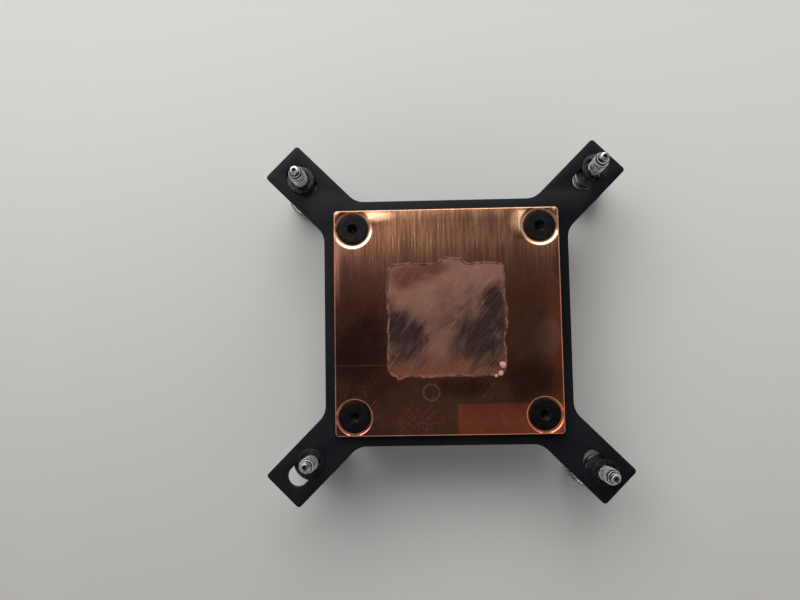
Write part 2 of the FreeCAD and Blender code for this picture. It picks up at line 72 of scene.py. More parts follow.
class Paint:
    # one material and the nodes in it
    def __init__(self, name, tree=None):
        if tree is None:
            self.material = bpy.data.materials.new(name)
            self.material.use_nodes = True
            tree = self.material.node_tree
        self.tree = tree
        self.tree.nodes.clear()

    def node(self, kind, settings=None, sockets=None, output=0):
        # any node: first its settings, then the values or links of its sockets
        made = self.tree.nodes.new(kind)
        for key, value in (settings or {}).items():
            if key == "stops":
                self.setStops(made.color_ramp, value)
            else:
                setattr(made, key, value)
        for key, value in (sockets or {}).items():
            if isinstance(value, Wire):
                self.tree.links.new(value.socket, made.inputs[key])
            else:
                made.inputs[key].default_value = value
        return Wire(self, made.outputs[output]) if made.outputs else made

    def setStops(self, ramp, stops):
        ramp.interpolation = "EASE"
        while len(ramp.elements) < len(stops):
            ramp.elements.new(1.0)
        for element, (place, colour) in zip(ramp.elements, stops):
            element.position = place
            element.color = (*colour, 1.0)

    def sum(self, operation, *values):
        return self.node("ShaderNodeMath", {"operation": operation}, dict(enumerate(values)))

    def limit(self, value):
        # held between 0 and 1
        return self.node("ShaderNodeClamp", {}, {"Value": value})

    def away(self, x, y):
        # distance from where x and y are 0
        return self.sum("SQRT", x * x + y * y)

    def step(self, value, low, high):
        # 0 below low, 1 above high and smooth between
        settings = {"interpolation_type": "SMOOTHSTEP"}
        sockets = {"Value": value, "From Min": low, "From Max": high}
        if low > high:
            sockets.update({"From Min": high, "From Max": low, "To Min": 1.0, "To Max": 0.0})
        return self.node("ShaderNodeMapRange", settings, sockets)

    def mix(self, share, first, second):
        colours = {}
        for key, colour in ((6, first), (7, second)):
            colours[key] = colour if isinstance(colour, Wire) else (*colour, 1.0)
        return self.node("ShaderNodeMix", {"data_type": "RGBA"}, {0: share, **colours}, output=2)

    def place(self, stretch=(1, 1, 1), shift=(0, 0, 0), turn=0.0):
        # object coordinates in millimetres, moved, then turned about Z, then stretched
        made = self.node("ShaderNodeTexCoord", output=3)
        made = self.node("ShaderNodeVectorMath", {"operation": "SCALE"}, {0: made, 3: 1 / mm})
        made = self.node("ShaderNodeVectorMath", {"operation": "SUBTRACT"}, {0: made, 1: shift})
        if turn:
            made = self.node("ShaderNodeVectorRotate", {"rotation_type": "Z_AXIS"},
                             {0: made, 3: math.radians(turn)})
        return self.node("ShaderNodeVectorMath", {"operation": "MULTIPLY"}, {0: made, 1: stretch})

    def axes(self, vector):
        split = self.node("ShaderNodeSeparateXYZ", {}, {0: vector}).socket.node
        return [Wire(self, output) for output in split.outputs]

    def grain(self, vector, scale, detail=2.0, roughness=0.5, distortion=0.0):
        return self.node("ShaderNodeTexNoise", {}, {"Vector": vector, "Scale": scale, "Detail": detail,
                                                    "Roughness": roughness, "Distortion": distortion})

    def finish(self, colour, roughness, metallic=0.0, height=None, bump=0.2, depth=0.05, **constants):
        sockets = {"Base Color": colour if isinstance(colour, Wire) else (*colour, 1.0),
                   "Roughness": roughness, "Metallic": metallic}
        for key, value in constants.items():
            sockets[key.replace("_", " ")] = value
        if height is not None:
            sockets["Normal"] = self.node("ShaderNodeBump", {},
                                          {"Strength": bump, "Distance": depth * mm, "Height": height})
        shader = self.node("ShaderNodeBsdfPrincipled", {}, sockets)
        self.node("ShaderNodeOutputMaterial", {}, {0: shader})
        return self.material


# Finishes

copper = {
    "clean": (0.86, 0.43, 0.235), "shadedTone": (0.47, 0.17, 0.145), "reflectionOrange": (1.0, 0.27, 0.13),
    "mark": (0.80, 0.46, 0.38), "streak": (0.34, 0.16, 0.10), "paintedShadeColour": (0.15, 0.055, 0.045),
    "highlightCream": (1.0, 0.66, 0.42), "roughness": 0.13,
    # ovals, each with its middle, half its width and half its depth in millimetres
    "wiped": ((8.5, -18.6, 8.5, 3.4), (-20.0, -23.0, 4.0, 3.0)),
    # painted shade: these ovals darken the copper where it stands for dark reflections
    "darkReflectionOvals": ((-24.0, -9.0, 10.0, 12.0), (21.0, -15.0, 9.0, 7.0), (4.0, -17.5, 8.0, 3.0),
              (-21.0, -3.0, 5.0, 7.0)),
    "speckled": ((-6.5, -24.0, 13.0, 7.0), (-25.0, -18.0, 6.0, 5.0)),
    # painted highlight: cream ovals by the back seats, where the bump also tilts the surface
    "highlightOvals": ((-18.8, 28.3, 5.5, 2.4), (19.3, 26.4, 2.7, 4.8)), "tilt": 8.0, "tiltFrom": 27.0,
    "fingerprint": (26.0, -4.5, 4.2, 6.0), "printMiddle": (38, -17, 0),
    # the painted reflection patch from its left, right, front and back, and the ring mark's middle and radius
    "reflectionPatchBox": (2.2, 29.5, -29.5, -21.6), "ringMark": (-4.6, -18.6, 2.1),
    "scratchTurns": (14, 52, -31, 78), "longScratchY": -11.4, "longScratchEnd": -15.5,
    # painted highlights on the polished rims of the two back seats, and on the wedges that they run out into
    "seatAt": 24.75, "seatRimHighlightRadii": (5.5, 5.2), "wedgeHighlightInner": (5.1, 5.4),
    "leftHighlightWedge": {"start": -20.6, "long": 6.8, "tall": 1.8, "back": 28.8},
    "rightHighlightWedge": {"left": 19.0, "right": 21.0, "front": 22.4, "back": 28.6},
    # roll-off of the plate's edges
    "edgeFrom": 26.7, "edgeWide": 2.8, "edgeDrop": 12.0,
}


def smears(paint, x, y, places, ragged):
    # soft ragged ovals, joined: 1 inside and 0 outside
    total = 0.0
    for middleX, middleY, wide, tall in places:
        away = paint.away((x - middleX) / wide, (y - middleY) / tall) + (ragged - 0.5) * 1.6
        total = paint.sum("MAXIMUM", total, paint.step(away, 1.2, 0.3))
    return total


def copperPaint():
    paint = Paint("copper")
    look = copper
    x, y, z = paint.axes(paint.place())
    onTop = paint.step(z, 28.1, 28.45)
    outward = paint.sum("MAXIMUM", abs(x), abs(y))

    # brushed streaks that run front to back, strongest near the back
    streaks = paint.grain(paint.place((3.0, 0.09, 3.0)), 1.0, 3.0, 0.6)
    fineStreaks = paint.grain(paint.place((4.5, 0.20, 4.5), (3, 8, 0), 4), 1.0, 3.0, 0.6)
    patchy = 0.6 + 0.5 * paint.step(paint.grain(paint.place((0.25, 0.05, 0.1)), 1.0, 3.0), 0.3, 0.7)
    nearBack = paint.step(y, -2.0, 27.0)
    brushed = nearBack * nearBack * patchy * 1.15
    furrows = paint.step(streaks, 0.58, 0.42) * 0.4 + paint.step(fineStreaks, 0.60, 0.40) * 0.35
    furrows = furrows * paint.step(y, 6.0, 20.0)

    # hairline scratches in four directions, curled ones and one long one
    scratches = 0.0
    for turn in look["scratchTurns"]:
        lines = paint.grain(paint.place((7.0, 0.05, 1.0), (turn, 2 * turn, 0), turn), 1.0, 1.0, 0.3)
        scratches = scratches + paint.step(lines, 0.70, 0.78)
    curls = paint.grain(paint.place((0.07, 0.07, 0.07), (40, 7, 0)), 1.0, 1.0, 0.4, 1.0)
    curls = 1.0 - paint.step(abs(paint.sum("FRACT", curls * 11.0) - 0.5), 0.0, 0.016)
    curls = curls * paint.step(paint.grain(paint.place((0.12, 0.12, 0.12), (3, 9, 1)), 1.0), 0.52, 0.66)
    scratches = paint.limit(scratches + curls) * paint.step(y, 17.0, 8.0)
    longScratch = paint.step(abs(y - look["longScratchY"] + (streaks - 0.5) * 0.3), 0.16, 0.04)
    longScratch = longScratch * paint.step(x, look["longScratchEnd"], look["longScratchEnd"] - 3.0)

    # wiped and speckled places, and ovals of painted shade that stand for dark reflections
    wisps = paint.grain(paint.place((2.0, 0.13, 1.0), (1, 6, 0), 40), 1.0, 4.0, 0.7)
    ragged = paint.grain(paint.place((0.2, 0.08, 0.1), (5, 2, 0), 40), 1.0, 4.0, 0.6)
    wiped = smears(paint, x, y, look["wiped"], ragged) * paint.step(wisps, 0.45, 0.75)
    darkReflectionOvals = smears(paint, x, y, look["darkReflectionOvals"], ragged)
    specks = paint.step(paint.grain(paint.place((1, 1, 1), (4, 4, 2)), 2.4, 4.0, 0.7), 0.44, 0.66)
    specks = specks * smears(paint, x, y, look["speckled"], ragged)
    worn = paint.step(x, -27.6, -28.8) * paint.step(y, 2.0, 9.0) * paint.step(y, 23.0, 17.0)

    # painted reflections, as a patch and along the right edge, then ring mark and fingerprint
    left, right, front, back = look["reflectionPatchBox"]
    reflectionPatch = paint.step(x, left - 0.3, left + 0.3) * paint.step(x, right, right - 0.3)
    reflectionPatch = reflectionPatch * paint.step(y, front - 0.2, front) * paint.step(y, back + 0.3, back - 0.3)
    rightEdgeReflection = paint.step(x, 24.5, 27.8) * paint.step(y, 15.0, 2.0)
    ringX, ringY, ringRadius = look["ringMark"]
    ring = 1.0 - paint.step(abs(paint.away(x - ringX, y - ringY) - ringRadius), 0.1, 0.4)
    printX, printY, printWide, printTall = look["fingerprint"]
    across = (x - printX) / printWide
    along = (y - printY) / printTall
    inPrint = paint.step(across * across + along * along, 1.0, 0.3)
    ridges = paint.node("ShaderNodeTexWave", {"wave_type": "RINGS", "rings_direction": "Z"},
                        {"Vector": paint.place((1, 1, 0), look["printMiddle"]), "Scale": 0.45,
                         "Distortion": 1.6, "Detail": 1.0, "Detail Scale": 0.2}, output=1)
    touched = inPrint * ridges

    # painted highlights on the polished seats of the two back screws and on the wedges beside them
    highlightOvals = smears(paint, x, y, look["highlightOvals"], 0.5)
    seatY = y - look["seatAt"]
    seatAway = paint.away(abs(x) - look["seatAt"], seatY)
    seatRimHighlight = paint.step(seatAway, *look["seatRimHighlightRadii"]) * paint.step(seatY, 0.5, -1.5)
    wedge = look["leftHighlightWedge"]
    room = (1.0 - (x - wedge["start"]) / wedge["long"]) * wedge["tall"] - (wedge["back"] - y)
    leftHighlightWedge = paint.step(x, wedge["start"] - 0.2, wedge["start"] + 0.2) * paint.step(room, 0.0, 0.3)
    leftHighlightWedge = leftHighlightWedge * paint.step(y, wedge["back"] + 0.2, wedge["back"] - 0.1)
    wedge = look["rightHighlightWedge"]
    rightHighlightWedge = paint.step(x, wedge["left"], wedge["left"] + 0.3) * paint.step(seatAway, *look["wedgeHighlightInner"])
    rightHighlightWedge = rightHighlightWedge * paint.step(x, wedge["right"] + 1.0, wedge["right"])
    rightHighlightWedge = rightHighlightWedge * paint.step(y, wedge["front"], wedge["front"] + 2.2)
    rightHighlightWedge = rightHighlightWedge * paint.step(y, wedge["back"] + 0.3, wedge["back"])
    highlightWedges = leftHighlightWedge + rightHighlightWedge
    # painted shade: the seat countersinks and other faces below the copper's top are darkened
    recessShade = paint.step(z, 28.30, 28.15) * paint.step(outward, 29.4, 29.1)

    # painted shade, darker to the front and to the left, mixed with random mottling
    clouds = paint.grain(paint.place((0.07, 0.07, 0.07), (11, 5, 0)), 1.0, 4.0, 0.6, 0.4)
    mottle = paint.grain(paint.place(), 0.5, 5.0, 0.65)
    shadeAndMottle = 0.15 + paint.step(y, 24.0, 4.0) * 0.45 + paint.step(x, -9.0, -23.0) * 0.3
    shadeAndMottle = paint.limit(shadeAndMottle + (clouds - 0.5) * 1.3 + (mottle - 0.5) * 0.8)

    # painted shade and random mottling, from the clean to the darker colour
    colour = paint.mix(shadeAndMottle, look["clean"], look["shadedTone"])
    colour = paint.mix(brushed * paint.step(streaks, 0.45, 0.75) * 0.35, colour, look["clean"])
    # painted reflections: an orange patch and a warm band along the right edge
    colour = paint.mix(reflectionPatch * 0.9, colour, look["reflectionOrange"])
    colour = paint.mix(rightEdgeReflection * 0.5, colour, look["reflectionOrange"])
    # painted shade in the dark-reflection ovals
    colour = paint.mix(darkReflectionOvals * 0.65, colour, look["paintedShadeColour"])
    marks = ring * 0.25 + touched * 0.75 + scratches * 0.25 + wiped * 0.35 + specks * 0.28
    colour = paint.mix(paint.limit(marks + longScratch * 0.35), colour, look["mark"])
    colour = paint.mix(furrows * (1.0 - highlightOvals), colour, look["streak"])
    # painted highlights: cream in the highlight ovals, on the seat rims and in the wedges
    colour = paint.mix(highlightOvals * 0.3, colour, look["highlightCream"])
    colour = paint.mix(paint.limit(highlightWedges * 0.8 + seatRimHighlight * 0.8), colour, look["highlightCream"])
    # painted shade in the seat countersinks
    colour = paint.mix(recessShade * 0.75, colour, look["paintedShadeColour"])

    rough = look["roughness"] + brushed * (0.02 + streaks * 0.14) + scratches * 0.04 + ring * 0.1
    rough = rough + touched * 0.06 + paint.limit(clouds - 0.45) * 0.12 + mottle * 0.04
    rough = rough + reflectionPatch * 0.085 + wiped * 0.12 + worn * 0.07 + specks * 0.09 + longScratch * 0.08
    rough = rough + highlightOvals * 0.03 + highlightWedges * 0.11 + rightEdgeReflection * 0.05

    edge = paint.limit((outward - look["edgeFrom"]) / look["edgeWide"])
    height = ((streaks - 0.5) * 1.2 + (fineStreaks - 0.5) * 0.5) * brushed * (1.0 - highlightOvals)
    height = height - scratches * 0.12 + mottle * 0.05 + touched * 0.25 + ring * 0.2 + (ragged - 0.5) * 0.8
    height = height - edge * edge * look["edgeDrop"] - highlightOvals * (y - look["tiltFrom"]) * look["tilt"]
    return paint.finish(colour, rough, 1.0, height * onTop, 0.3, 0.02)


metals = {
    "blackenedScrew": {"colour": (0.017, 0.015, 0.016), "worn": (0.03, 0.027, 0.028),
                       "roughness": 0.4, "spread": 0.1, "scale": 1.0, "bump": 0.1},
    # painted shade: the spring wire is given a darker colour than bare steel, for where it sits under the
    # bracket
    "springWire": {"colour": (0.13, 0.13, 0.135), "worn": (0.07, 0.07, 0.072),
                   "roughness": 0.26, "spread": 0.12, "scale": 1.5, "bump": 0.1},
    "washerSteel": {"colour": (0.07, 0.07, 0.075), "worn": (0.13, 0.13, 0.135),
                    "roughness": 0.38, "spread": 0.14, "scale": 1.2, "bump": 0.2},
    "clipSteel": {"colour": (0.035, 0.035, 0.038), "worn": (0.09, 0.09, 0.095),
                  "roughness": 0.36, "spread": 0.12, "scale": 2.0, "bump": 0.2},
    "steelSheet": {"colour": (0.58, 0.58, 0.58), "worn": (0.45, 0.45, 0.45),
                   "roughness": 0.3, "spread": 0.12, "scale": 2.0, "bump": 0.15},
}
coats = {
    "bracketCoat": {"colour": (0.005, 0.006, 0.008), "dusty": (0.012, 0.013, 0.016),
                    "roughness": 0.37, "bump": 0.25, "shine": 0.15},
    "coverPlastic": {"colour": (0.014, 0.014, 0.015), "dusty": (0.035, 0.035, 0.036),
                     "roughness": 0.5, "bump": 0.12, "shine": 0.4},
    "sealRubber": {"colour": (0.01, 0.01, 0.01), "dusty": (0.02, 0.02, 0.02),
                   "roughness": 0.7, "bump": 0.3, "shine": 0.3},
}


def metalPaint(name, colour, worn, roughness, spread, scale, bump):
    # plated or blackened steel with a fine grain and worn spots
    paint = Paint(name)
    clouds = paint.grain(paint.place(), 0.6 * scale, 4.0, 0.6)
    grain = paint.grain(paint.place(), 3.0 * scale, 3.0, 0.6)
    shade = paint.node("ShaderNodeValToRGB", {"stops": ((0.45, colour), (0.75, worn))}, {0: clouds})
    rough = roughness + (grain - 0.5) * spread + (clouds - 0.5) * spread
    return paint.finish(shade, rough, 1.0, grain + clouds * 0.4, bump, 0.02)


def coatPaint(name, colour, dusty, roughness, bump, shine):
    # satin coating: a fine orange peel, faint dust and softer sheen in places
    paint = Paint(name)
    peel = paint.grain(paint.place(), 2.6, 2.0, 0.5)
    clouds = paint.grain(paint.place((0.05, 0.05, 0.05)), 1.0, 4.0, 0.6)
    specks = paint.step(paint.grain(paint.place(), 5.0, 1.0), 0.74, 0.80)
    shade = paint.mix(paint.limit(paint.step(clouds, 0.4, 0.75) * 0.6 + specks * 0.4), colour, dusty)
    rough = roughness + (clouds - 0.5) * 0.2 + specks * 0.1
    return paint.finish(shade, rough, 0.0, peel, bump, 0.03, Specular_IOR_Level=shine)


threadLook = {
    "steel": (0.80, 0.79, 0.765), "worn": (0.42, 0.41, 0.39), "band": (0.10, 0.096, 0.09),
    # the darkest colour here is painted shade for the roots of the thread, the knurl and the centre drill
    "rootShade": (0.014, 0.013, 0.012), "roughness": 0.30, "spread": 0.15, "rootRough": 0.5,
}


def threadPaint():
    # bright turned steel, with painted shade in the roots of the thread and the knurl
    paint = Paint("platedScrew")
    look = threadLook
    root = paint.node("ShaderNodeAttribute", {"attribute_name": "root"}, output=2)
    clouds = paint.grain(paint.place(), 0.9, 4.0, 0.6)
    grain = paint.grain(paint.place((0.3, 0.3, 14.0)), 3.0, 3.0, 0.6)
    bands = paint.grain(paint.place((0.3, 0.3, 0.55)), 1.0, 4.0, 0.75)
    shade = paint.mix(paint.step(clouds, 0.45, 0.75), look["steel"], look["worn"])
    shade = paint.mix(paint.step(bands, 0.48, 0.60) * 0.65, shade, look["band"])
    # painted shade in the roots of the thread, the knurl and the centre drill
    shade = paint.mix(paint.limit((root - 0.08) * 2.6 + (clouds - 0.5) * 0.6), shade, look["rootShade"])
    rough = look["roughness"] + ((grain - 0.5) + (clouds - 0.5)) * look["spread"] + root * look["rootRough"]
    return paint.finish(shade, rough, 1.0, grain + clouds * 0.4, 0.2, 0.03)


pasteLook = {
    "tan": (0.325, 0.16, 0.115), "fawn": (0.42, 0.205, 0.145), "rose": (0.27, 0.098, 0.054),
    "red": (0.17, 0.038, 0.030), "dark": (0.022, 0.010, 0.011), "pale": (0.38, 0.245, 0.195),
    "rim": (0.25, 0.10, 0.072), "rimShade": (0.07, 0.026, 0.020), "lump": (0.62, 0.33, 0.25),
    "darkSmears": ((-12.6, -2.8, 9.6, 10.0), (9.8, -2.4, 12.5, 13.0), (12.0, 4.5, 5.0, 6.5)),
    "redSmears": ((-11.0, 12.2, 7.0, 4.6), (-3.0, 14.0, 4.0, 2.2)),
    "thickFrom": (28.525, 28.57), "lumpFrom": (28.72, 28.85), "wipeTurn": 37,
}


def pastePaint():
    # dried thermal paste: thick and pink at the rim, a thin wiped haze with dark smears inside
    paint = Paint("driedPaste")
    look = pasteLook
    turn = look["wipeTurn"]
    x, y, z = paint.axes(paint.place())
    thick = paint.step(z, *look["thickFrom"])
    ragged = paint.grain(paint.place((0.19, 0.11, 0.1), (2, 4, 0), turn), 1.0, 4.0, 0.6, 0.5)
    wisps = paint.grain(paint.place((2.4, 0.16, 1.0), (2, 4, 0), turn), 1.0, 4.0, 0.7)
    nicks = paint.grain(paint.place((4.0, 0.10, 1.0), (8, 1, 0), turn), 1.0, 2.0, 0.4)
    crumbs = paint.grain(paint.place(), 2.2, 5.0, 0.72)
    broken = paint.grain(paint.place(), 0.55, 3.0, 0.6)
    dark = smears(paint, x, y, look["darkSmears"], ragged)
    pale = paint.step(wisps, 0.46, 0.80)

    film = paint.mix(paint.step(y, 0.0, 11.0), look["tan"], look["fawn"])
    film = paint.mix(paint.step(y, -6.0, -12.5), film, look["rose"])
    film = paint.mix(smears(paint, x, y, look["redSmears"], ragged) * 0.8, film, look["red"])
    film = paint.mix(dark * 0.97, film, look["dark"])
    film = paint.mix(pale * (0.38 - dark * 0.32), film, look["pale"])
    film = paint.mix(paint.step(nicks, 0.62, 0.74) * 0.3, film, look["pale"])
    rim = paint.mix(paint.step(broken + (crumbs - 0.5) * 0.3, 0.38, 0.62), look["rimShade"], look["rim"])
    rim = paint.mix(paint.step(z, *look["lumpFrom"]), rim, look["lump"])

    cover = paint.limit(0.52 + dark * 0.43 + pale * 0.12 + (ragged - 0.5) * 0.6)
    alpha = paint.limit(cover + thick * 0.9)
    rough = 0.5 + crumbs * 0.25
    return paint.finish(paint.mix(thick, film, rim), rough, 0.0, crumbs + wisps * 0.3, 0.5, 0.03,
                        Alpha=alpha, Specular_IOR_Level=0.12)


floorLook = {"front": (0.53, 0.52, 0.507), "back": (0.735, 0.724, 0.696), "cloud": (0.8, 0.79, 0.77)}


def floorPaint():
    # pale table top, with painted shade that makes it a little darker towards its front
    paint = Paint("tableTop")
    x, y, _ = paint.axes(paint.place())
    clouds = paint.grain(paint.place((0.02, 0.006, 0.006)), 1.0, 4.0)
    fine = paint.grain(paint.place(), 0.8, 3.0)
    # painted shade: the floor's colour darkens towards the front
    shade = paint.mix(paint.step(y + x * 0.12, -125.0, 105.0), floorLook["front"], floorLook["back"])
    shade = paint.mix((clouds - 0.5) * 0.3, shade, floorLook["cloud"])
    return paint.finish(shade, 0.55, 0.0, fine, 0.05, 0.03)


finishes = {"copper": copperPaint(), "platedScrew": threadPaint(), "driedPaste": pastePaint()}
for name, look in coats.items():
    finishes[name] = coatPaint(name, **look)
for name, look in metals.items():
    finishes[name] = metalPaint(name, **look)
print("finishes made")


# Mesh helpers

def makePiece(name, points, faces, finish, body, slot, stands=(), angle=32):
    # a new piece that rides a body and stands for nodes of the frame; angle keeps its edges sharp
    mesh = bpy.data.meshes.new(name)
    mesh.from_pydata([tuple(p) for p in points], [], faces)
    return dressPiece(name, mesh, finish, body, slot, stands, angle)


def dressPiece(name, mesh, finish, body, slot, stands=(), angle=32):
    tidy = bmesh.new()
    tidy.from_mesh(mesh)
    bmesh.ops.remove_doubles(tidy, verts=tidy.verts, dist=1e-7)
    bmesh.ops.recalc_face_normals(tidy, faces=tidy.faces)
    tidy.to_mesh(mesh)
    tidy.free()
    mesh.materials.clear()
    mesh.materials.append(finishes[finish])
    mesh.polygons.foreach_set("use_smooth", [True] * len(mesh.polygons))
    mesh.set_sharp_from_angle(angle=math.radians(angle))
    piece = bpy.data.objects.new(name, mesh)
    bpy.context.scene.collection.objects.link(piece)
    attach(piece, body)
    if stands:
        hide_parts(*stands)
    return piece


def turns(count):
    # angles of a full turn in equal steps
    return [2 * math.pi * j / count for j in range(count)]


def polar(centre, radius, angle, z):
    return (centre.x + radius * math.cos(angle), centre.y + radius * math.sin(angle), z)


def roundRing(centre, radius, z, count):
    return [polar(centre, radius * mm, angle, z) for angle in turns(count)]


def joined(*parts):
    points, faces = [], []
    for somePoints, someFaces in parts:
        shift = len(points)
        points += somePoints
        faces += [tuple(k + shift for k in face) for face in someFaces]
    return points, faces


def ringStack(rings, closed=True):
    # joins rings of equal length with quads, and closes both ends with a fan
    count = len(rings[0])
    points = [p for ring in rings for p in ring]
    faces = []
    for k in range(len(rings) - 1):
        for j in range(count):
            nextJ = (j + 1) % count
            faces.append((k * count + j, k * count + nextJ, (k + 1) * count + nextJ, (k + 1) * count + j))
    if closed:
        for ring in (0, len(rings) - 1):
            middle = Vector((0, 0, 0))
            for p in rings[ring]:
                middle += Vector(p) / count
            points.append(tuple(middle))
            for j in range(count):
                faces.append((ring * count + j, ring * count + (j + 1) % count, len(points) - 1))
    return points, faces


def faceLoops(node, height):
    # the outlines of a node's flat face at a height, longest first
    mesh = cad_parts[node].data
    work = bmesh.new()
    work.from_mesh(mesh)
    bmesh.ops.remove_doubles(work, verts=work.verts, dist=1e-7)
    flat = set(f for f in work.faces if all(abs(v.co.z - height) < 1e-6 for v in f.verts))
    border = {}
    for face in flat:
        for edge in face.edges:
            if sum(f in flat for f in edge.link_faces) == 1:
                for v, other in (edge.verts, reversed(edge.verts)):
                    border.setdefault(v.index, (v.co.xy.copy(), []))[1].append(other.index)
    loops = []
    left = set(border)
    while left:
        start = left.pop()
        loop = [start]
        step = next((n for n in border[start][1] if n in left), None)
        while step is not None:
            left.discard(step)
            loop.append(step)
            step = next((n for n in border[step][1] if n in left), None)
        loops.append([border[k][0] for k in loop])
    work.free()
    return sorted(loops, key=lambda loop: -max((p - loop[0]).length for p in loop))


def stamped(node, low, high, softness, rounds=3):
    # a flat piece with softened edges, from the outlines of the node's upper face
    outline = bpy.data.curves.new(node, "CURVE")
    outline.dimensions = "2D"
    outline.fill_mode = "BOTH"
    for loop in faceLoops(node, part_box(node)[1].z):
        spline = outline.splines.new("POLY")
        spline.points.add(len(loop) - 1)
        for point, place in zip(spline.points, loop):
            point.co = (place.x, place.y, 0, 1)
        spline.use_cyclic_u = True
    outline.extrude = (high - low) / 2 - softness
    outline.bevel_depth = softness
    outline.bevel_resolution = rounds
    outline.offset = -softness
    holder = bpy.data.objects.new(node + "Outline", outline)
    mesh = bpy.data.meshes.new_from_object(holder)
    bpy.data.objects.remove(holder)
    for vertex in mesh.vertices:
        vertex.co.z += (low + high) / 2
    return mesh


def partOf(node, keep):
    # the faces of a node that pass a test of their vertices, as a new mesh
    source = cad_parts[node].data
    faces = []
    for face in source.polygons:
        if keep([source.vertices[k].co for k in face.vertices]):
            faces.append(tuple(face.vertices))
    mesh = bpy.data.meshes.new(node)
    mesh.from_pydata([tuple(v.co) for v in source.vertices], [], faces)
    return mesh


# Bracket, copper base and cover

bracket = {"softness": 0.16 * mm}
plate = {
    "rimTall": 2.5, "cornerRound": 1.0, "edgeRound": 0.3, "edgeSteps": 6, "screwSquare": 49.5,
    # radius and depth of each screw seat, from its soft rim down into the countersink
    "backSeat": ((5.50, 0.0), (5.35, 0.008), (5.20, 0.026), (5.05, 0.052), (4.90, 0.080), (4.78, 0.112),
                 (4.67, 0.152), (4.58, 0.210), (4.10, 0.60), (2.20, 2.50)),
    "frontSeat": ((4.98, 0.0), (4.90, 0.012), (4.82, 0.032), (4.74, 0.064), (4.67, 0.105), (4.61, 0.155),
                  (4.55, 0.215), (4.50, 0.295), (4.10, 0.60), (2.20, 2.50)),
    "seatSteps": 96, "seatStep": 0.018,
}


def inset(loop, depth):
    # a round-cornered square outline, moved inwards
    centre = max(p.x for p in loop) - plate["cornerRound"] * mm
    moved = []
    for p in loop:
        corner = Vector((math.copysign(centre, p.x), math.copysign(centre, p.y)))
        moved.append(p - (p - corner).normalized() * depth)
    return moved


def screwCentres():
    half = plate["screwSquare"] / 2 * mm
    return [Vector((x * half, y * half)) for x, y in ((1, 1), (-1, 1), (-1, -1), (1, -1))]


def makeCopperBase():
    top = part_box("base_plate")[1].z
    foot = top - plate["rimTall"] * mm
    under = partOf("base_plate", lambda places: max(v.z for v in places) < foot + 1e-6)
    loop = faceLoops("base_plate", foot)[0]
    rounding = plate["edgeRound"] * mm
    rings = [[(p.x, p.y, foot) for p in loop]]
    for k in range(plate["edgeSteps"] + 1):
        angle = math.pi / 2 * k / plate["edgeSteps"]
        level = top - rounding * (1 - math.sin(angle))
        rings.append([(p.x, p.y, level) for p in inset(loop, rounding * (1 - math.cos(angle)))])
    parts = [ringStack(rings, closed=False)]
    edges = [rings[-1]]
    for centre in screwCentres():
        seat = []
        for k, (radius, deep) in enumerate(plate["backSeat"] if centre.y > 0 else plate["frontSeat"]):
            ring = roundRing(centre, radius, top - deep * mm, plate["seatSteps"])
            # each ring stays a little further inside the plate's edge than the one around it
            edge = max(p.x for p in loop) - rounding - (1 + k) * plate["seatStep"] * mm
            seat.append([(max(-edge, min(edge, x)), max(-edge, min(edge, y)), z) for x, y, z in ring])
        parts.append(ringStack(seat, closed=False))
        edges.append(seat[0])
    points, faces = joined(*parts)
    work = bmesh.new()
    work.from_mesh(under)
    verts = [work.verts.new(p) for p in points]
    for face in faces:
        work.faces.new([verts[k] for k in face])
    border = []
    for ring in edges:
        around = [work.verts.new(p) for p in ring]
        border += [work.edges.new((v, w)) for v, w in zip(around, around[1:] + around[:1])]
    bmesh.ops.triangle_fill(work, use_beauty=True, edges=border, normal=(0, 0, 1))
    work.to_mesh(under)
    work.free()
    dressPiece("copperBase", under, "copper", "block", "copper", ["base_plate"], 38)


def makeBlock():
    low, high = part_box("mounting_bracket")
    mesh = stamped("mounting_bracket", low.z, high.z, bracket["softness"])
    dressPiece("bracketPlate", mesh, "bracketCoat", "block", "bracket_coat", ["mounting_bracket"], 50)
    makeCopperBase()
    cover = partOf("top_cover", lambda places: True)
    dressPiece("coverBody", cover, "coverPlastic", "block", "cover_plastic", ["top_cover"], 25)
    for node, finish in (("jet_plate", "steelSheet"), ("main_seal", "sealRubber")):
        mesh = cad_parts[node].data
        mesh.materials.clear()
        mesh.materials.append(finishes[finish])
    print("block made")


makeBlock()

# Countersunk socket screws of the base

baseScrew = {
    "headRadius": 4.0, "rimRound": 0.18, "rimSteps": 5, "shankRadius": 2.0, "shankLong": 14.0, "recessShade": 0.5,
    "socketAcross": 2.5, "socketDeep": 1.6, "socketLead": 0.12, "leadFlare": 0.6, "faceIn": 0.5,
    "drillDeep": 0.5, "drillPoint": 0.3, "steps": 96,
}


def hexRing(centre, across, z, count, turn=30):
    ring = []
    for angle in turns(count):
        fromFlat = (math.degrees(angle) - turn) % 60 - 30
        radius = across / 2 / math.cos(math.radians(fromFlat))
        ring.append(polar(centre, radius * mm, angle, z))
    return ring


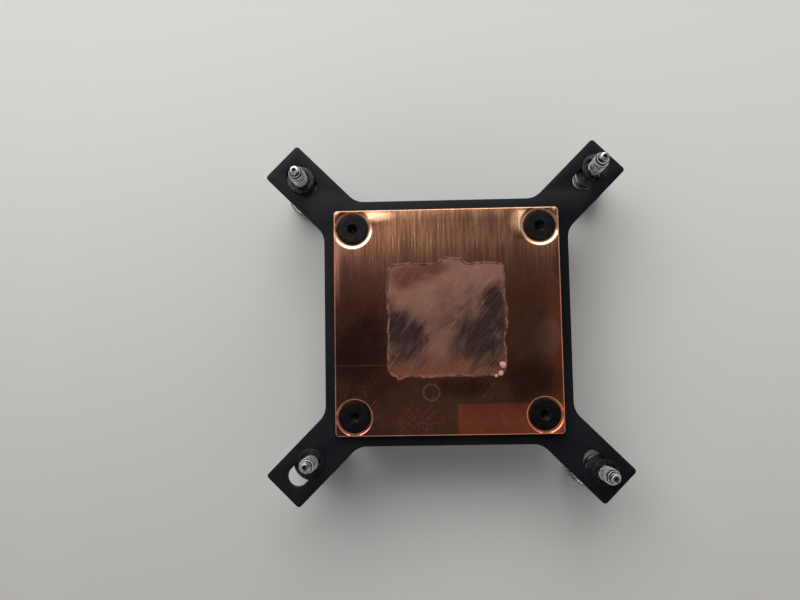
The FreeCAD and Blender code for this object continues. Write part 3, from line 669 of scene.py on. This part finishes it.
def makeBaseScrews():
    spec = baseScrew
    count = spec["steps"]
    across = spec["socketAcross"]
    leadRadius = across / 2 * 1.155 + spec["socketLead"] * spec["leadFlare"]  # just past the hexagon's corners
    drilled = spec["socketDeep"] + spec["drillDeep"]
    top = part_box("base_plate")[1].z - spec["recessShade"] * mm
    for number, centre in zip(corners, screwCentres()):
        rings = [
            hexRing(centre, across * spec["drillPoint"], top - drilled * mm, count),
            hexRing(centre, across, top - spec["socketDeep"] * mm, count),
            hexRing(centre, across, top - spec["socketLead"] * mm, count),
            roundRing(centre, leadRadius, top, count),
            roundRing(centre, spec["headRadius"] - spec["rimRound"] - spec["faceIn"], top, count),
        ]
        for k in range(spec["rimSteps"] + 1):
            angle = math.radians(90 - 90 / spec["rimSteps"] * k)
            inward = spec["rimRound"] * (1 - math.cos(angle))
            drop = spec["rimRound"] * (1 - math.sin(angle))
            rings.append(roundRing(centre, spec["headRadius"] - inward, top - drop * mm, count))
        cone = spec["headRadius"] - spec["shankRadius"]
        rings.append(roundRing(centre, spec["shankRadius"], top - cone * mm, count))
        rings.append(roundRing(centre, spec["shankRadius"], top - spec["shankLong"] * mm, count))
        makePiece(f"baseScrew{number}", *ringStack(rings), "blackenedScrew", "block", "blackened_screw",
                  angle=20)
    print("base screws made")


makeBaseScrews()

# Captive thumb screws, springs, washers and clips

thumbScrew = {
    "shankRadius": 2.0, "neckRadius": 1.6, "studRadius": 2.0, "dogRadius": 1.1, "centreRadius": 0.55,
    "neckLow": -0.05, "neckHigh": 0.65, "taperLow": 8.2, "dogLow": 10.9, "tip": 12.0, "centreDeep": 0.7,
    "shankChamfer": 0.12, "studChamfer": 0.15, "tipRound": 0.18,
    "threadPitch": 1.25, "threadDeep": 0.5, "threadTurnSteps": 48, "threadRows": 14, "coreShare": 0.85,
    "rootWide": 1.25, "crestWide": 0.12, "fadeIn": (0.25, 0.35), "fadeOut": (0.1, 0.2),
    "headTop": -18.0, "headBottom": -25.5, "headRadius": 6.4, "bevel": 0.6, "bevelMiddle": (0.4, 0.25),
    "ridges": 40, "ridgeSteps": 6, "ridgeDeep": 0.32, "ridgeWide": 1.3, "ridgeEnd": 0.3, "ridgeEndShare": 0.6,
    "recessMiddle": 2.1, "recessRadius": 2.5, "recessMouth": 2.9, "recessDeep": 0.7,
    "seatMouth": 4.6, "seatRadius": 4.4, "seatDeep": 0.12,
    "centreShade": 0.9, "ridgeShade": 0.8,
}
spring = {
    "coilRadius": 3.3, "wireRadius": 0.45, "turns": 5, "stepsPerTurn": 40, "wireSteps": 12,
    "ground": 0.35, "shortest": 9.2,
}
washer = {"softness": 0.1}
clip = {"softness": 0.1, "lift": 0.01}


def clamped(value):
    return min(1.0, max(0.0, value))


def crestRadius(z):
    # the stud over the crests of its thread, narrower along the taper
    spec = thumbScrew
    if z <= spec["taperLow"]:
        return spec["studRadius"]
    along = (z - spec["taperLow"]) / (spec["dogLow"] - spec["taperLow"])
    return spec["studRadius"] + (spec["dogRadius"] - spec["studRadius"]) * along


def threadRadius(angle, z):
    # a sharp-crested thread that fades in above the clip's groove and out at the dog point
    spec = thumbScrew
    share = (z / spec["threadPitch"] - angle / (2 * math.pi)) % 1.0
    groove = 1 - abs(2 * share - 1)
    groove = clamped(groove * spec["rootWide"] - spec["crestWide"])
    inFrom, inLong = spec["fadeIn"]
    outFrom, outLong = spec["fadeOut"]
    fadeIn = clamped((z - spec["neckHigh"] - inFrom) / inLong)
    fadeOut = clamped((spec["dogLow"] - outFrom - z) / outLong)
    outer = crestRadius(z)
    core = max(outer - spec["threadDeep"], spec["dogRadius"] * spec["coreShare"])
    return outer - max(0.0, min(outer - core, spec["threadDeep"] * groove)) * fadeIn * fadeOut


def studMesh(centre, base):
    spec = thumbScrew
    count = spec["threadTurnSteps"]
    neckLow, neckHigh, dogLow = spec["neckLow"], spec["neckHigh"], spec["dogLow"]
    levels = [(spec["shankRadius"], spec["headTop"]),
              (spec["shankRadius"], neckLow - spec["shankChamfer"]),
              (spec["shankRadius"] - spec["shankChamfer"], neckLow),
              (spec["neckRadius"], neckLow),
              (spec["neckRadius"], neckHigh),
              (spec["studRadius"] - spec["studChamfer"], neckHigh)]
    rings = [roundRing(centre, radius, base + z * mm, count) for radius, z in levels]
    rows = math.ceil((dogLow - neckHigh) / spec["threadPitch"] * spec["threadRows"])
    for k in range(1, rows + 1):
        z = neckHigh + (dogLow - neckHigh) * k / rows
        rings.append([polar(centre, threadRadius(angle, z) * mm, angle, base + z * mm)
                      for angle in turns(count)])
    tip, rounded, drilled = spec["tip"], spec["tipRound"], spec["centreDeep"]
    levels = [(spec["dogRadius"], tip - rounded),
              (spec["dogRadius"] - rounded * 0.3, tip - rounded * 0.3),
              (spec["dogRadius"] - rounded, tip),
              (spec["centreRadius"], tip),
              (spec["centreRadius"] * 0.55, tip - drilled * 0.6),
              (spec["centreRadius"] * 0.5, tip - drilled)]
    rings += [roundRing(centre, radius, base + z * mm, count) for radius, z in levels]
    return ringStack(rings)


def headMesh(centre, base):
    spec = thumbScrew
    bevel, deep, fade = spec["bevel"], spec["ridgeDeep"], spec["ridgeEnd"]
    bottom, top = spec["headBottom"], spec["headTop"]
    plain = spec["headRadius"] - deep
    bevelIn, bevelUp = [bevel * share for share in spec["bevelMiddle"]]
    recess, seat, part = bottom + spec["recessDeep"], top - spec["seatDeep"], spec["ridgeEndShare"]
    # radius, height and how much of the knurl shows there
    levels = [(spec["recessMiddle"], recess, 0), (spec["recessRadius"], recess, 0),
              (spec["recessMouth"], bottom, 0), (plain - bevel, bottom, 0),
              (plain - bevelIn, bottom + bevelUp, 0), (plain, bottom + bevel, part),
              (plain, bottom + bevel + fade, 1), (plain, top - bevel - fade, 1), (plain, top - bevel, part),
              (plain - bevelIn, top - bevelUp, 0), (plain - bevel, top, 0), (spec["seatMouth"], top, 0),
              (spec["seatRadius"], seat, 0), (spec["shankRadius"], seat, 0)]
    rings = []
    for flat, z, knurl in levels:
        ring = []
        for j, angle in enumerate(turns(spec["ridges"] * spec["ridgeSteps"])):
            share = (j % spec["ridgeSteps"]) / spec["ridgeSteps"]
            ridge = min(1.0, (1 - abs(2 * share - 1)) * spec["ridgeWide"])
            ring.append(polar(centre, (flat + deep * knurl * ridge) * mm, angle, base + z * mm))
        rings.append(ring)
    return ringStack(rings)


def markRoots(piece, centre, base):
    # how deep each vertex lies in the thread or the knurl, from 0 at a crest to 1 at a root; this places the
    # painted shade
    spec = thumbScrew
    depths = piece.data.attributes.new("root", "FLOAT", "POINT")
    for vertex, depth in zip(piece.data.vertices, depths.data):
        radius = (vertex.co.xy - centre.xy).length / mm
        z = (vertex.co.z - base) / mm
        if spec["neckHigh"] < z < spec["dogLow"]:
            depth.value = clamped((crestRadius(z) - radius) / spec["threadDeep"])
        elif z >= spec["tip"] - spec["centreDeep"] and radius < spec["centreRadius"] * 0.9:
            depth.value = spec["centreShade"]
        elif z < spec["headTop"] - spec["bevel"] and radius > spec["headRadius"] - 2 * spec["ridgeDeep"]:
            depth.value = clamped((spec["headRadius"] - radius) / spec["ridgeDeep"]) * spec["ridgeShade"]


def springMesh(centre, low, high):
    spec = spring
    wire = 2 * spec["wireRadius"]
    tall = (high - low) / mm
    end = wire * (0.5 - spec["ground"])
    rings = []
    for k in range(spec["turns"] * spec["stepsPerTurn"] + 1):
        turn = k / spec["stepsPerTurn"]
        if turn <= 1:
            z = end + wire * turn
        elif turn >= spec["turns"] - 1:
            z = tall - end - wire * (spec["turns"] - turn)
        else:
            z = end + wire + (turn - 1) / (spec["turns"] - 2) * (tall - 2 * (end + wire))
        ring = []
        for around in turns(spec["wireSteps"]):
            radius = (spec["coilRadius"] + spec["wireRadius"] * math.cos(around)) * mm
            level = low + (z + spec["wireRadius"] * math.sin(around)) * mm
            ring.append(polar(centre, radius, 2 * math.pi * turn, min(high, max(low, level))))
        rings.append(ring)
    return ringStack(rings)


def makeCaptiveScrews():
    for number in corners:
        low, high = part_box(f"washer_{number}")
        centre = (low + high) / 2
        springLow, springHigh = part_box(f"spring_{number}")
        clipLow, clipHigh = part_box(f"retaining_clip_{number}")
        screw = joined(studMesh(centre, clipLow.z), headMesh(centre, clipLow.z))
        piece = makePiece(f"thumbScrew{number}", *screw, "platedScrew", f"screw_{number}", "plated_screw",
                          [f"thumb_screw_{number}"], 50)
        markRoots(piece, centre, clipLow.z)
        coil = makePiece(f"coilSpring{number}", *springMesh(centre, springLow.z, springHigh.z), "springWire",
                         f"slider_{number}", "spring_wire", [f"spring_{number}"], 60)
        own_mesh(coil)
        mesh = stamped(f"washer_{number}", low.z, high.z, washer["softness"] * mm)
        dressPiece(f"flatWasher{number}", mesh, "washerSteel", f"slider_{number}", "washer_steel",
                   [f"washer_{number}"], 50)
        clipFoot = clipLow.z + clip["lift"] * mm
        mesh = stamped(f"retaining_clip_{number}", clipFoot, clipHigh.z, clip["softness"] * mm)
        dressPiece(f"eClip{number}", mesh, "clipSteel", f"clip_{number}", "clip_steel",
                   [f"retaining_clip_{number}"], 50)
    print("captive screws made")


makeCaptiveScrews()

# Print of dried thermal paste on the copper

paste = {
    "left": -15.9, "right": 15.2, "front": -14.7, "back": 15.3, "squareness": 14, "steps": 480,
    "wobble": 0.35, "wobbleSize": 0.35, "ripple": 0.5, "rippleSize": 1.3, "seed": 7.3,
    "film": 0.02, "filmRings": 24, "filmMiddle": 0.02, "filmSize": 0.4, "filmSeed": 3.0,
    "crest": 0.16, "rimWide": 0.75, "rimRings": 8, "rimSharp": 1.3, "rimSize": 1.1, "rimSeed": 5.0,
    # bumps of the outline and lumps on it, with middle, width and height
    "bumps": ((1.3, 15.3, 3.2, 1.5), (15.2, 0.4, 3.5, 0.7), (-12.4, -14.8, 0.9, 0.8)),
    "lumps": ((14.1, -11.7, 0.95, 0.70), (13.5, -13.9, 0.80, 0.60), (12.3, -14.5, 0.6, 0.40)),
    "lumpSteps": 40, "lumpRings": 10, "lumpUneven": 0.25,
}


def uneven(place, size, seed):
    return noise.noise(Vector((place.x * size, place.y * size, seed)))


def pasteEdge(angle):
    # the print's outline in millimetres, for a direction from its middle
    spec = paste
    middle = Vector(((spec["left"] + spec["right"]) / 2, (spec["front"] + spec["back"]) / 2))
    half = Vector(((spec["right"] - spec["left"]) / 2, (spec["back"] - spec["front"]) / 2))
    way = Vector((math.cos(angle), math.sin(angle)))
    power = spec["squareness"]
    radius = (abs(way.x / half.x) ** power + abs(way.y / half.y) ** power) ** (-1 / power)
    place = middle + way * radius
    shake = uneven(place, spec["wobbleSize"], spec["seed"])
    shake += spec["ripple"] * uneven(place, spec["rippleSize"], spec["seed"])
    reach = spec["wobble"] * shake
    for x, y, wide, tall in spec["bumps"]:
        reach += tall * math.exp(-((place - Vector((x, y))).length / wide) ** 4)
    return place + way * reach, way


def makePaste():
    spec = paste
    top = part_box("base_plate")[1].z
    edges = [pasteEdge(angle) for angle in turns(spec["steps"])]
    rings = []
    for k in range(spec["filmRings"]):
        share = max(spec["filmMiddle"], k / spec["filmRings"])
        ring = []
        for edge, way in edges:
            inner = edge - way * spec["rimWide"]
            place = inner * share
            z = spec["film"] * (0.7 + 0.5 * uneven(place, spec["filmSize"], spec["filmSeed"]))
            ring.append((place.x * mm, place.y * mm, top + z * mm))
        rings.append(ring)
    for k in range(spec["rimRings"] + 1):
        across = k / spec["rimRings"]
        hump = math.sin(math.pi * across) ** spec["rimSharp"]
        ring = []
        for edge, way in edges:
            place = edge - way * spec["rimWide"] * (1 - across)
            rough = 0.65 + 0.6 * uneven(place, spec["rimSize"], spec["rimSeed"])
            z = spec["crest"] * rough * hump + spec["film"] * (1 - across)
            ring.append((place.x * mm, place.y * mm, top + z * mm))
        rings.append(ring)
    points, faces = ringStack(rings, closed=False)
    faces.append(list(range(spec["steps"])))
    points, faces = joined((points, faces), *[lumpMesh(*lump, top) for lump in spec["lumps"]])
    makePiece("driedPaste", points, faces, "driedPaste", "block", "copper", angle=60)
    print("paste print made")


def lumpMesh(x, y, wide, tall, top):
    spec = paste
    centre = Vector((x, y)) * mm
    rings = []
    for k in range(1, spec["lumpRings"] + 1):
        tilt = math.pi / 2 * k / spec["lumpRings"]
        ring = []
        for angle in turns(spec["lumpSteps"]):
            spot = Vector((math.cos(angle) * 1.3 + x, math.sin(angle) * 1.3 + y, k * 0.2))
            radius = wide * math.sin(tilt) * (1 + spec["lumpUneven"] * noise.noise(spot))
            ring.append(polar(centre, radius * mm, angle, top + tall * math.cos(tilt) * mm))
        rings.append(ring)
    return ringStack(rings)


makePaste()

# Table top, light and camera

studio = {
    "floorHalf": 4.0,
    "worldSide": (0.62, 0.62, 0.62), "worldTop": (0.050, 0.042, 0.040),
    "darkWay": (0.06, -0.16, 1.0), "darkFrom": 0.36, "darkTo": 1.0,
    "keyPlace": (-0.25, 0.70, 0.95), "keySize": (1.3, 0.8), "keyPower": 10.0,
}
camera = {
    "place": (-0.00611, -0.01260, 0.24147),
    "forward": (-0.0293, 0.0853, -0.9959), "up": (0.0189, 0.9962, 0.0848),
    "lens": 36.67, "sensor": 36, "nearest": 0.01,
}


def makeFloor():
    half = studio["floorHalf"]
    mesh = bpy.data.meshes.new("tableTop")
    points = [(-half, -half, 0), (half, -half, 0), (half, half, 0), (-half, half, 0)]
    mesh.from_pydata(points, [], [(0, 1, 2, 3)])
    mesh.materials.append(floorPaint())
    floor = bpy.data.objects.new("tableTop", mesh)
    bpy.context.scene.collection.objects.link(floor)


def makeLamp(name, place, size, power):
    lamp = bpy.data.lights.new(name, "AREA")
    lamp.shape = "RECTANGLE"
    lamp.size, lamp.size_y = size
    lamp.energy = power
    holder = bpy.data.objects.new(name, lamp)
    holder.location = place
    holder.rotation_euler = (-Vector(place)).to_track_quat("-Z", "Y").to_euler()
    bpy.context.scene.collection.objects.link(holder)


def makeWorld():
    # pale all round and darker overhead, so that the copper mirrors a dark ceiling
    world = bpy.data.worlds.new("studio")
    world.use_nodes = True
    bpy.context.scene.world = world
    sky = Paint("studio", world.node_tree)
    way = sky.node("ShaderNodeTexCoord", output=0)
    aim = Vector(studio["darkWay"]).normalized()
    off = sky.node("ShaderNodeVectorMath", {"operation": "DOT_PRODUCT"}, {0: way, 1: tuple(aim)}, output=1)
    away = sky.sum("ARCCOSINE", sky.limit(off))
    side = sky.step(away, studio["darkFrom"], studio["darkTo"])
    colour = sky.mix(side, studio["worldTop"], studio["worldSide"])
    light = sky.node("ShaderNodeBackground", {}, {0: colour})
    sky.node("ShaderNodeOutputWorld", {}, {0: light})


def makeCamera():
    forward = Vector(camera["forward"]).normalized()
    right = forward.cross(Vector(camera["up"])).normalized()
    up = right.cross(forward)
    turn = Matrix((right, up, -forward)).transposed().to_4x4()
    lens = bpy.data.cameras.new("camera")
    lens.lens = camera["lens"]
    lens.sensor_width = camera["sensor"]
    lens.clip_start = camera["nearest"]
    holder = bpy.data.objects.new("camera", lens)
    holder.matrix_world = Matrix.Translation(camera["place"]) @ turn
    bpy.context.scene.collection.objects.link(holder)
    bpy.context.scene.camera = holder


makeFloor()
makeLamp("keyLamp", studio["keyPlace"], studio["keySize"], studio["keyPower"])
makeWorld()
makeCamera()
bpy.context.scene.view_settings.view_transform = "Standard"
print("studio made")
